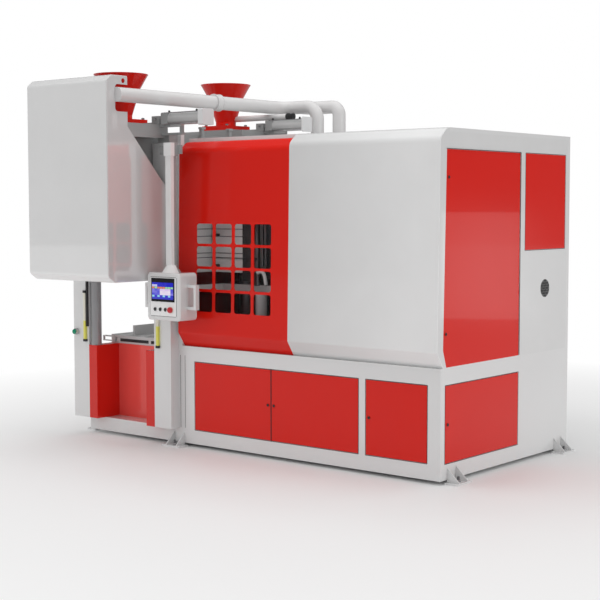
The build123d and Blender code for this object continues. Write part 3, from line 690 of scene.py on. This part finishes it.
def screen_picture():
    """A generic panel of tiles: a title, a row of coloured keys, a pale chart and a row of soft keys."""
    look = Finish("screen_picture", Roughness=0.12, Emission_Strength=0.8)
    right = (look.axis("X") - screen_x[0]) / ((screen_x[1] - screen_x[0]) / tiles)
    up = (look.axis("Z") - screen_z[0]) / ((screen_z[1] - screen_z[0]) / tiles)
    column, row = right.floor(), up.floor()
    inner = abs(right % 1.0 - 0.5).most(abs(up % 1.0 - 0.5)) < 0.44
    cell = look.node("ShaderNodeCombineXYZ", {}, {"X": column, "Y": row, "Z": 3.0})
    pick = look.node("ShaderNodeTexWhiteNoise", {}, {"Vector": cell})
    middle = within(row, 2, 4)
    chart = look.mix(pick, (0.78, 0.60, 0.95), (0.95, 0.88, 0.97))
    side = look.mix(pick, (0.03, 0.03, 0.70), (0.35, 0.33, 0.92))
    keys = look.mix(pick > 0.55, (0.85, 0.30, 0.06), (0.40, 0.80, 0.35))
    picture = look.mix(middle, (0.01, 0.015, 0.60), side)
    picture = look.mix(middle * within(column, 3, 6), picture, chart)
    picture = look.mix(within(row, 5, 5) * (pick > 0.2) * inner, picture, keys)
    soft_keys = within(row, 1, 1) * ((column % 2.0) < 0.5) * inner
    picture = look.mix(soft_keys, picture, (0.30, 0.72, 0.88))
    picture = look.mix(within(row, 6, 6) * (column < 1.5), picture, (0.62, 0.62, 0.95))
    look.set("Base Color", (0.01, 0.01, 0.02))
    look.set("Emission Color", picture)
    return look


lay("screen_sheet", rounded([
    span(screen_x, (bezel_front - screen_proud, bezel_front + screen_proud), screen_z)
], 0.001), screen_picture())
groove = seam("control_face", -y_way, 0.003, face_high[1] - face_low[1], round_off=0.012)
lay("face_groove", banded(groove, -y_way, strip(0.0015, 0.001, 0.0005)), black_plastic)

stop_low, stop_high = corners("stop_button")
stop_x, _, button_z = (stop_low + stop_high) / 2
plate_front = stop_high[1]
button_pitch = 0.060
button_spots = [(face_low[0] + button_pitch * n, plate_front, button_z) for n in (1, 2, 3)]
stop_spot = [(stop_x, plate_front, button_z)]
lay("button_rings", turned([
    (0.0165, -0.001), (0.0178, 0.0015), (0.0170, 0.0065), (0.0150, 0.0075), (0.0142, 0.006)
], button_spots, -y_way), bright_steel)
lay("button_caps", turned([
    (0.0138, 0.004), (0.0138, 0.0095), (0.0125, 0.0115), (0.006, 0.0125)
], button_spots, -y_way), black_plastic)
lay("stop_mushroom", turned([
    (0.012, 0.004), (0.0125, 0.010), (0.0242, 0.0125), (0.0245, 0.0185), (0.0215, 0.0235), (0.010, 0.0265)
], stop_spot, -y_way), stop_red)
lay("stop_ring", turned([
    (0.0275, -0.001), (0.0275, 0.002), (0.0262, 0.003)
], stop_spot, -y_way), slot_finish["curtain_yellow"])


# Post lamp: a domed lens in a chromed ring

lamp_low, lamp_high = corners("push_lamp")
lamp_x, _, lamp_z = (lamp_low + lamp_high) / 2
lamp_spot = [(lamp_x, lamp_low[1], lamp_z)]
lay("lamp_lens", turned([
    (0.0225, -0.006), (0.0235, 0.002), (0.0225, 0.008), (0.0190, 0.0125), (0.0120, 0.0155), (0.004, 0.0165)
], lamp_spot, -y_way), lens_green)
lay("lamp_bezel", turned([
    (0.029, -0.0325), (0.0300, -0.024), (0.0285, -0.010), (0.0262, -0.002), (0.0240, 0.000)
], lamp_spot, -y_way), bright_steel)


# Light curtains: a lens strip down the front of each bar

curtain_low, curtain_high = corners("light_curtains")
bar_in, bar_wide = 0.003, 0.026
lens_wide, lens_end = 0.012, 0.03
lens_y = (curtain_low[1] + 0.0022, curtain_low[1] + 0.006)
lens_z = (curtain_low[2] + lens_end, curtain_high[2] - lens_end)
bar_middles = (curtain_low[0] + bar_in + bar_wide / 2, curtain_high[0] - bar_in - bar_wide / 2)
lay("curtain_lenses", rounded([
    span((x - lens_wide / 2, x + lens_wide / 2), lens_y, lens_z) for x in bar_middles
], 0.0012), slot_finish["curtain_yellow"])


# Station table: shaded slots and a skirt under its front edge, and a slide rail at its left

table_front = corners("station_table")[0][1]
slots_x = ((-1.700, -1.330), (-1.300, -0.985))
slot_y, slot_z = (table_front - 0.0005, table_front + 0.004), (0.834, 0.862)
skirt_x, skirt_z = (-1.745, -0.978), (0.826, 0.873)
lay("table_slots", rounded([span(slot_x, slot_y, slot_z) for slot_x in slots_x], 0.0018), black_plastic)
lay("table_skirt", rounded([
    span(skirt_x, (table_front + 0.001, table_front + 0.016), skirt_z)
], 0.003), node_finish["station_table"])

rail_x, rail_z, rail_front = (-1.945, -1.790), (0.826, 0.876), -0.790
rail_sheet, rail_top_wide, rail_foot_wide = 0.010, 0.040, 0.020
lay("slide_rail", rounded([
    span(rail_x, (rail_front, rail_front + rail_top_wide), (rail_z[1] - rail_sheet, rail_z[1])),
    span(rail_x, (rail_front, rail_front + rail_foot_wide), (rail_z[0], rail_z[0] + rail_sheet)),
    span((rail_x[0], rail_x[0] + rail_sheet), (rail_front, rail_front + rail_foot_wide), rail_z),
], 0.002), node_finish["table_rails"])


# Left stile of the cabinet: two upright seams

frame_left, seam_front, _ = corners("cabinet_front_frame")[0]
seam_half, seam_z = 0.0022, (0.160, 0.790)
lay("stile_seams", rounded([
    span((x - seam_half, x + seam_half), (seam_front - 0.0006, seam_front + 0.003), seam_z)
    for x in (frame_left + 0.018, frame_left + 0.072)
], 0.0008), black_plastic)


# Head: rims and flange bolts of the funnels

flange_top, flange_reach = 2.824, 0.132
hexagon = 0.024
hexagon_tall = 0.62 * hexagon


def funnel_trim(side):
    """A rolled rim round a funnel's mouth, and hexagon bolts on washers in its flange."""
    low, high = corners("funnel_" + side)
    middle = (low + high) / 2
    mouth = middle[:2] + circle((high[0] - low[0]) / 2 - 0.0048, 64)
    rim = np.column_stack([mouth, np.full(len(mouth), high[2] - 0.0045)])
    lay(f"funnel_{side}_rim", banded(rim, z_way, circle(0.0042, 8)), red_enamel)
    spots = [
        (middle[0] + x_side * flange_reach, middle[1] + y_side * flange_reach, flange_top)
        for x_side in (-1, 1) for y_side in (-1, 1)
    ]
    lay(f"funnel_{side}_bolts", turned([
        (0.52 * hexagon, 0.002), (0.58 * hexagon, 0.003), (0.58 * hexagon, hexagon_tall),
        (0.5 * hexagon, hexagon_tall + 0.0012)
    ], spots, z_way, sides=6), bright_steel)
    lay(f"funnel_{side}_bolts_washers", turned([
        (0.85 * hexagon, 0.0), (0.85 * hexagon, 0.0018), (0.7 * hexagon, 0.0022)
    ], spots, z_way), bright_steel)


funnel_trim("front")
funnel_trim("rear")


# Gate cylinders: tie rods, port fittings and the clevis pins at their rods' ends

gate_low, gate_high = corners("gate_cylinders")
gate_rows = [np.mean(corners("funnel_" + side), axis=0)[1] for side in ("front", "rear")]
rod_z = gate_high[2] - 0.067
tie_off = 0.046
barrel_start = gate_high[0] - gate_barrel - 0.040
barrel_end = gate_high[0] - 0.050
tie_spots = [
    (barrel_start, y + y_side * tie_off, rod_z + z_side * tie_off)
    for y in gate_rows for y_side in (-1, 1) for z_side in (-1, 1)
]
lay("gate_tie_rods", turned(
    [(0.0055, 0.0), (0.0055, barrel_end - barrel_start)], tie_spots, x_way, sides=10
), bright_steel)
port_up = 0.052
port_spots = [(x, y, rod_z + port_up) for y in gate_rows for x in (barrel_start + 0.01, barrel_end - 0.08)]
lay("gate_ports", turned([
    (0.011, -0.004), (0.011, 0.006), (0.009, 0.007), (0.009, 0.016), (0.006, 0.018)
], port_spots, z_way, sides=12), black_plastic)
pin_x, pin_half = gate_low[0] + 0.608, 0.034
lay("gate_pins", turned(
    [(0.010, -pin_half), (0.010, pin_half)], [(pin_x, y, rod_z) for y in gate_rows], y_way, sides=16
), bright_steel)


# Head frame: clamps that stand on the right beam, and the nozzle's fitting

beam_right = corners("head_cover")[1][0] - 0.006
clamp_wide, clamp_foot, clamp_top = 0.034, 2.655, 2.762
clamp_rows = (-0.640, -0.285)


def clamp_block(y, foot, top, stands_out):
    """One block of a clamp, wider than the clamp's bar by what it stands out."""
    half = clamp_wide / 2 + stands_out
    start = beam_right + 0.0005 - stands_out / 100
    return span((start, beam_right + clamp_wide + stands_out), (y - half, y + half), (foot, top))


clamp_blocks = []
for y in clamp_rows:
    clamp_blocks.append(clamp_block(y, clamp_foot, clamp_top, 0.0))
    clamp_blocks.append(clamp_block(y, clamp_top - 0.02, clamp_top, 0.009))
    clamp_blocks.append(clamp_block(y, clamp_foot, clamp_foot + 0.022, 0.006))
lay("beam_clamps", rounded(clamp_blocks, 0.003), grey_enamel)

nozzle_end = (-0.589, 0.272, 2.890)
lay("nozzle_fitting", turned([
    (0.020, -0.006), (0.031, -0.004), (0.031, 0.022), (0.025, 0.026), (0.025, 0.05), (0.029, 0.052),
    (0.029, 0.072), (0.018, 0.076)
], [nozzle_end], x_way), black_plastic)


# Pipes: lips on the clamp collar, flanges on the roof and their bolts

pipe_radius = 0.060
pipe_x, pipe_z = -0.805, 2.984
collar_y, collar_half = -0.458, 0.033
lay("collar_lips", turned([
    (0.0605, -0.006), (0.0755, -0.005), (0.0765, 0.0), (0.0755, 0.005), (0.0605, 0.006)
], [
    (pipe_x, collar_y - collar_half, pipe_z), (pipe_x, collar_y + collar_half, pipe_z)
], y_way, sides=40), pipe_skin)

roof_top = corners("roof_panel")[1][2]
pipe_ends = [corners(pipe)[1][:2] - pipe_radius for pipe in ("air_pipe_front", "air_pipe_rear")]
flange_thick, bolt_circle = 0.008, 0.078
lay("roof_flanges", turned([
    (0.088, 0.0), (0.090, 0.002), (0.090, flange_thick), (0.068, 0.010), (0.064, 0.016), (0.0605, 0.017)
], [(x, y, roof_top) for x, y in pipe_ends], z_way, sides=40), pipe_skin)
lay("roof_flange_bolts", turned([
    (0.006, 0.0), (0.006, 0.005), (0.005, 0.006)
], [
    (x + right, y + back, roof_top + flange_thick)
    for x, y in pipe_ends for right, back in circle(bolt_circle, 6)
], z_way, sides=6), bright_steel)


# Moulding gear behind the windows: handles, ribs, guide bars, a small cylinder, a hose and dark blocks

flask_low, flask_high = corners("mould_flask")
press_low, press_high = corners("squeeze_table")
gear_front = flask_low[1]
wall_front = -0.90
wall_face = flask_low[0] - 0.0525
handle_x, handle_half, handle_levels = (-0.636, -0.592), 0.013, (1.555, 1.821)
lay("flask_handles", rounded([
    span(handle_x, (gear_front - 0.022, gear_front + 0.004), (z - handle_half, z + handle_half))
    for z in handle_levels
], 0.005), black_plastic)
flask_z = (flask_low[2], flask_high[2])
lay("flask_ends", rounded([
    span((wall_face - 0.002, wall_face + 0.004), (wall_front, gear_front - 0.002), flask_z)
], 0.0015), node_finish["mould_flask"])

rib_half = 0.0035
rib_spans = [(z - rib_half, z + rib_half) for z in (1.625, 1.665, 1.810, 1.874)]
front_ribs = [
    span((wall_face + 0.002, flask_high[0] - 0.004), (gear_front - 0.0035, gear_front + 0.001), rib_z)
    for rib_z in rib_spans
]
wall_ribs = [
    span((wall_face + 0.001, wall_face + 0.0065), (wall_front, gear_front), rib_z) for rib_z in rib_spans
]
lay("flask_ribs", rounded(front_ribs + wall_ribs, 0.001), dark_steel)
press_z = (press_low[2], press_high[2])
lay("table_ledge", rounded([
    span((wall_face - 0.002, wall_face + 0.06), (wall_front, gear_front + 0.3), press_z)
], 0.004), pipe_skin)

gear_top, bar_top, bar_foot = 2.02, 2.10, 1.56
valve_x, valve_y = (flask_high[0] - 0.004, flask_high[0] + 0.112), (gear_front - 0.006, gear_front + 0.10)
lay("valve_blocks", rounded([
    span(valve_x, valve_y, (1.43, gear_top)),
    span((-0.120, 0.150), (gear_front + 0.060, gear_front + 0.16), (1.45, gear_top)),
], 0.006), black_plastic)
lay("guide_bars", rounded([
    span((-0.188, -0.146), (gear_front - 0.010, gear_front + 0.02), (press_high[2], bar_top)),
    span((-0.128, -0.108), (gear_front + 0.01, gear_front + 0.03), (bar_foot, bar_top)),
    span((-0.096, -0.080), (gear_front + 0.02, gear_front + 0.04), (bar_foot, bar_top)),
], 0.004), dark_steel)
knob_spot = (-0.168, gear_front - 0.010, 1.62)
lay("guide_bar_knob", turned(
    [(0.012, 0.0), (0.012, 0.010), (0.009, 0.014)], [knob_spot], -y_way
), black_plastic)

deck_top = corners("machine_deck")[1][2]
press_foot = press_low[2]
lift_spot = (-0.135, gear_front + 0.02, 0.0)
lay("lift_cylinder", turned([
    (0.050, deck_top), (0.050, press_foot - 0.012), (0.044, press_foot - 0.008), (0.044, press_foot)
], [lift_spot], z_way, sides=32), pipe_skin)


def hose_path(count=24):
    """A hose that runs right and drops: z falls with the square of s, and a half sine bows it out and up."""
    s = np.linspace(0, 1, count)
    bow = np.sin(math.pi * s)
    return np.stack([
        -0.160 + 0.10 * s, gear_front - 0.004 + 0.02 * bow, 1.50 - 0.10 * s ** 2 + 0.03 * bow
    ], axis=-1)


lay("gear_hose", rod(hose_path(), 0.016), pipe_skin)


# Floor and backdrop

plain_white = (1.0, 1.0, 1.0)
floor_radius, floor_sides = 60.0, 96
floor_middle_x, fade_start, fade_end = 0.9, 2.3, 7.0


def floor_surface():
    """A pale floor that takes the machine's shadow and fades to plain white away from it."""
    floor = Finish("floor_paint", Roughness=0.6, Specular_IOR_Level=0.2)
    floor.set("Base Color", (0.9, 0.9, 0.9))
    across, deep = floor.axis("X") - floor_middle_x, floor.axis("Y")
    reach = (across * across + deep * deep) ** 0.5
    white = floor.node("ShaderNodeEmission", {}, {"Color": plain_white, "Strength": 1.0})
    seen = floor.node("ShaderNodeLightPath", out="Is Camera Ray")
    share = reach.between(fade_start, fade_end) * seen
    floor.show(floor.node("ShaderNodeMixShader", {}, {0: share, 1: floor.shader, 2: white}))
    return floor


def lay_floor():
    """A flat disc, (radius * cos t, radius * sin t, 0), staged so that it isn't part of the machine."""
    rim = np.column_stack([circle(floor_radius, floor_sides), np.zeros(floor_sides)])
    mesh = bpy.data.meshes.new("studio_floor")
    mesh.from_pydata(rim.tolist(), [], [list(range(floor_sides))])
    mesh.materials.append(floor_surface().material)
    floor = bpy.data.objects.new("studio_floor", mesh)
    scene.collection.objects.link(floor)
    floor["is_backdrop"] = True


def studio_light(diffuse, glossy):
    """An even white backdrop: plain white to the camera, softer as light and in reflections."""
    scene.world = bpy.data.worlds.new("studio")
    backdrop = Nodes(scene.world)
    lit, mirrored, shown = (
        backdrop.node("ShaderNodeBackground", {}, {"Color": plain_white, "Strength": strength})
        for strength in (diffuse, glossy, 1.0)
    )
    reflection = backdrop.node("ShaderNodeLightPath", out="Is Glossy Ray")
    seen = backdrop.node("ShaderNodeLightPath", out="Is Camera Ray")
    through = backdrop.node("ShaderNodeLightPath", out="Is Transmission Ray")
    unseen = backdrop.node("ShaderNodeMixShader", {}, {0: reflection, 1: lit, 2: mirrored})
    whole = backdrop.node("ShaderNodeMixShader", {}, {0: seen.most(through), 1: unseen, 2: shown})
    backdrop.feed(backdrop.tree.nodes.new("ShaderNodeOutputWorld").inputs["Surface"], whole)


lay_floor()
studio_light(diffuse=0.64, glossy=0.20)


# Lamps and camera

def soft_lamp(name, spot, aim, size, watts, mirrored=True, seen=True):
    """A rectangular studio lamp at spot that faces aim."""
    data = bpy.data.lights.new(name, "AREA")
    data.shape = "RECTANGLE"
    data.size, data.size_y = size
    data.energy = watts
    lamp = bpy.data.objects.new(name, data)
    scene.collection.objects.link(lamp)
    turn = (Vector(aim) - Vector(spot)).to_track_quat("-Z", "Y")
    lamp.matrix_world = Matrix.Translation(spot) @ turn.to_matrix().to_4x4()
    lamp.visible_glossy = mirrored
    lamp.visible_camera = seen


soft_lamp("top_lamp", (0.0, -0.5, 7.5), (0, 0, 1.0), size=(7.0, 6.0), watts=235, mirrored=False)
soft_lamp("left_lamp", (-6.0, -7.0, 2.6), (-0.5, 0, 1.2), size=(5.0, 4.0), watts=62, mirrored=False)
soft_lamp("right_lamp", (8.5, 0.5, 2.6), (1.9, 0, 1.4), size=(3.0, 4.0), watts=62)
soft_lamp("door_glow", (5.1, 4.75, 1.34), (1.9, -0.5, 1.5), size=(0.95, 1.3), watts=4.5)
soft_lamp(
    "gear_lamp", (0.10, -0.86, 1.95), (-0.5, -0.65, 1.72), size=(0.16, 0.2), watts=1.0,
    mirrored=False, seen=False
)


def place_camera(spot, yaw, dip, roll, focal):
    """A camera that turns by yaw from looking along Y, looks down by dip, and then rolls a little."""
    lens = bpy.data.cameras.new("camera")
    lens.lens = focal
    lens.sensor_width = 36.0
    camera = bpy.data.objects.new("camera", lens)
    scene.collection.objects.link(camera)
    camera.matrix_world = (
        Matrix.Translation(spot) @ Matrix.Rotation(yaw, 4, "Z")
        @ Matrix.Rotation(math.pi / 2 - dip, 4, "X") @ Matrix.Rotation(roll, 4, "Z")
    )
    scene.camera = camera


place_camera(
    (7.3158, -9.2145, 2.0838), math.radians(39.286), math.radians(4.081), roll=-0.001, focal=80.18
)

low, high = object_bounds()
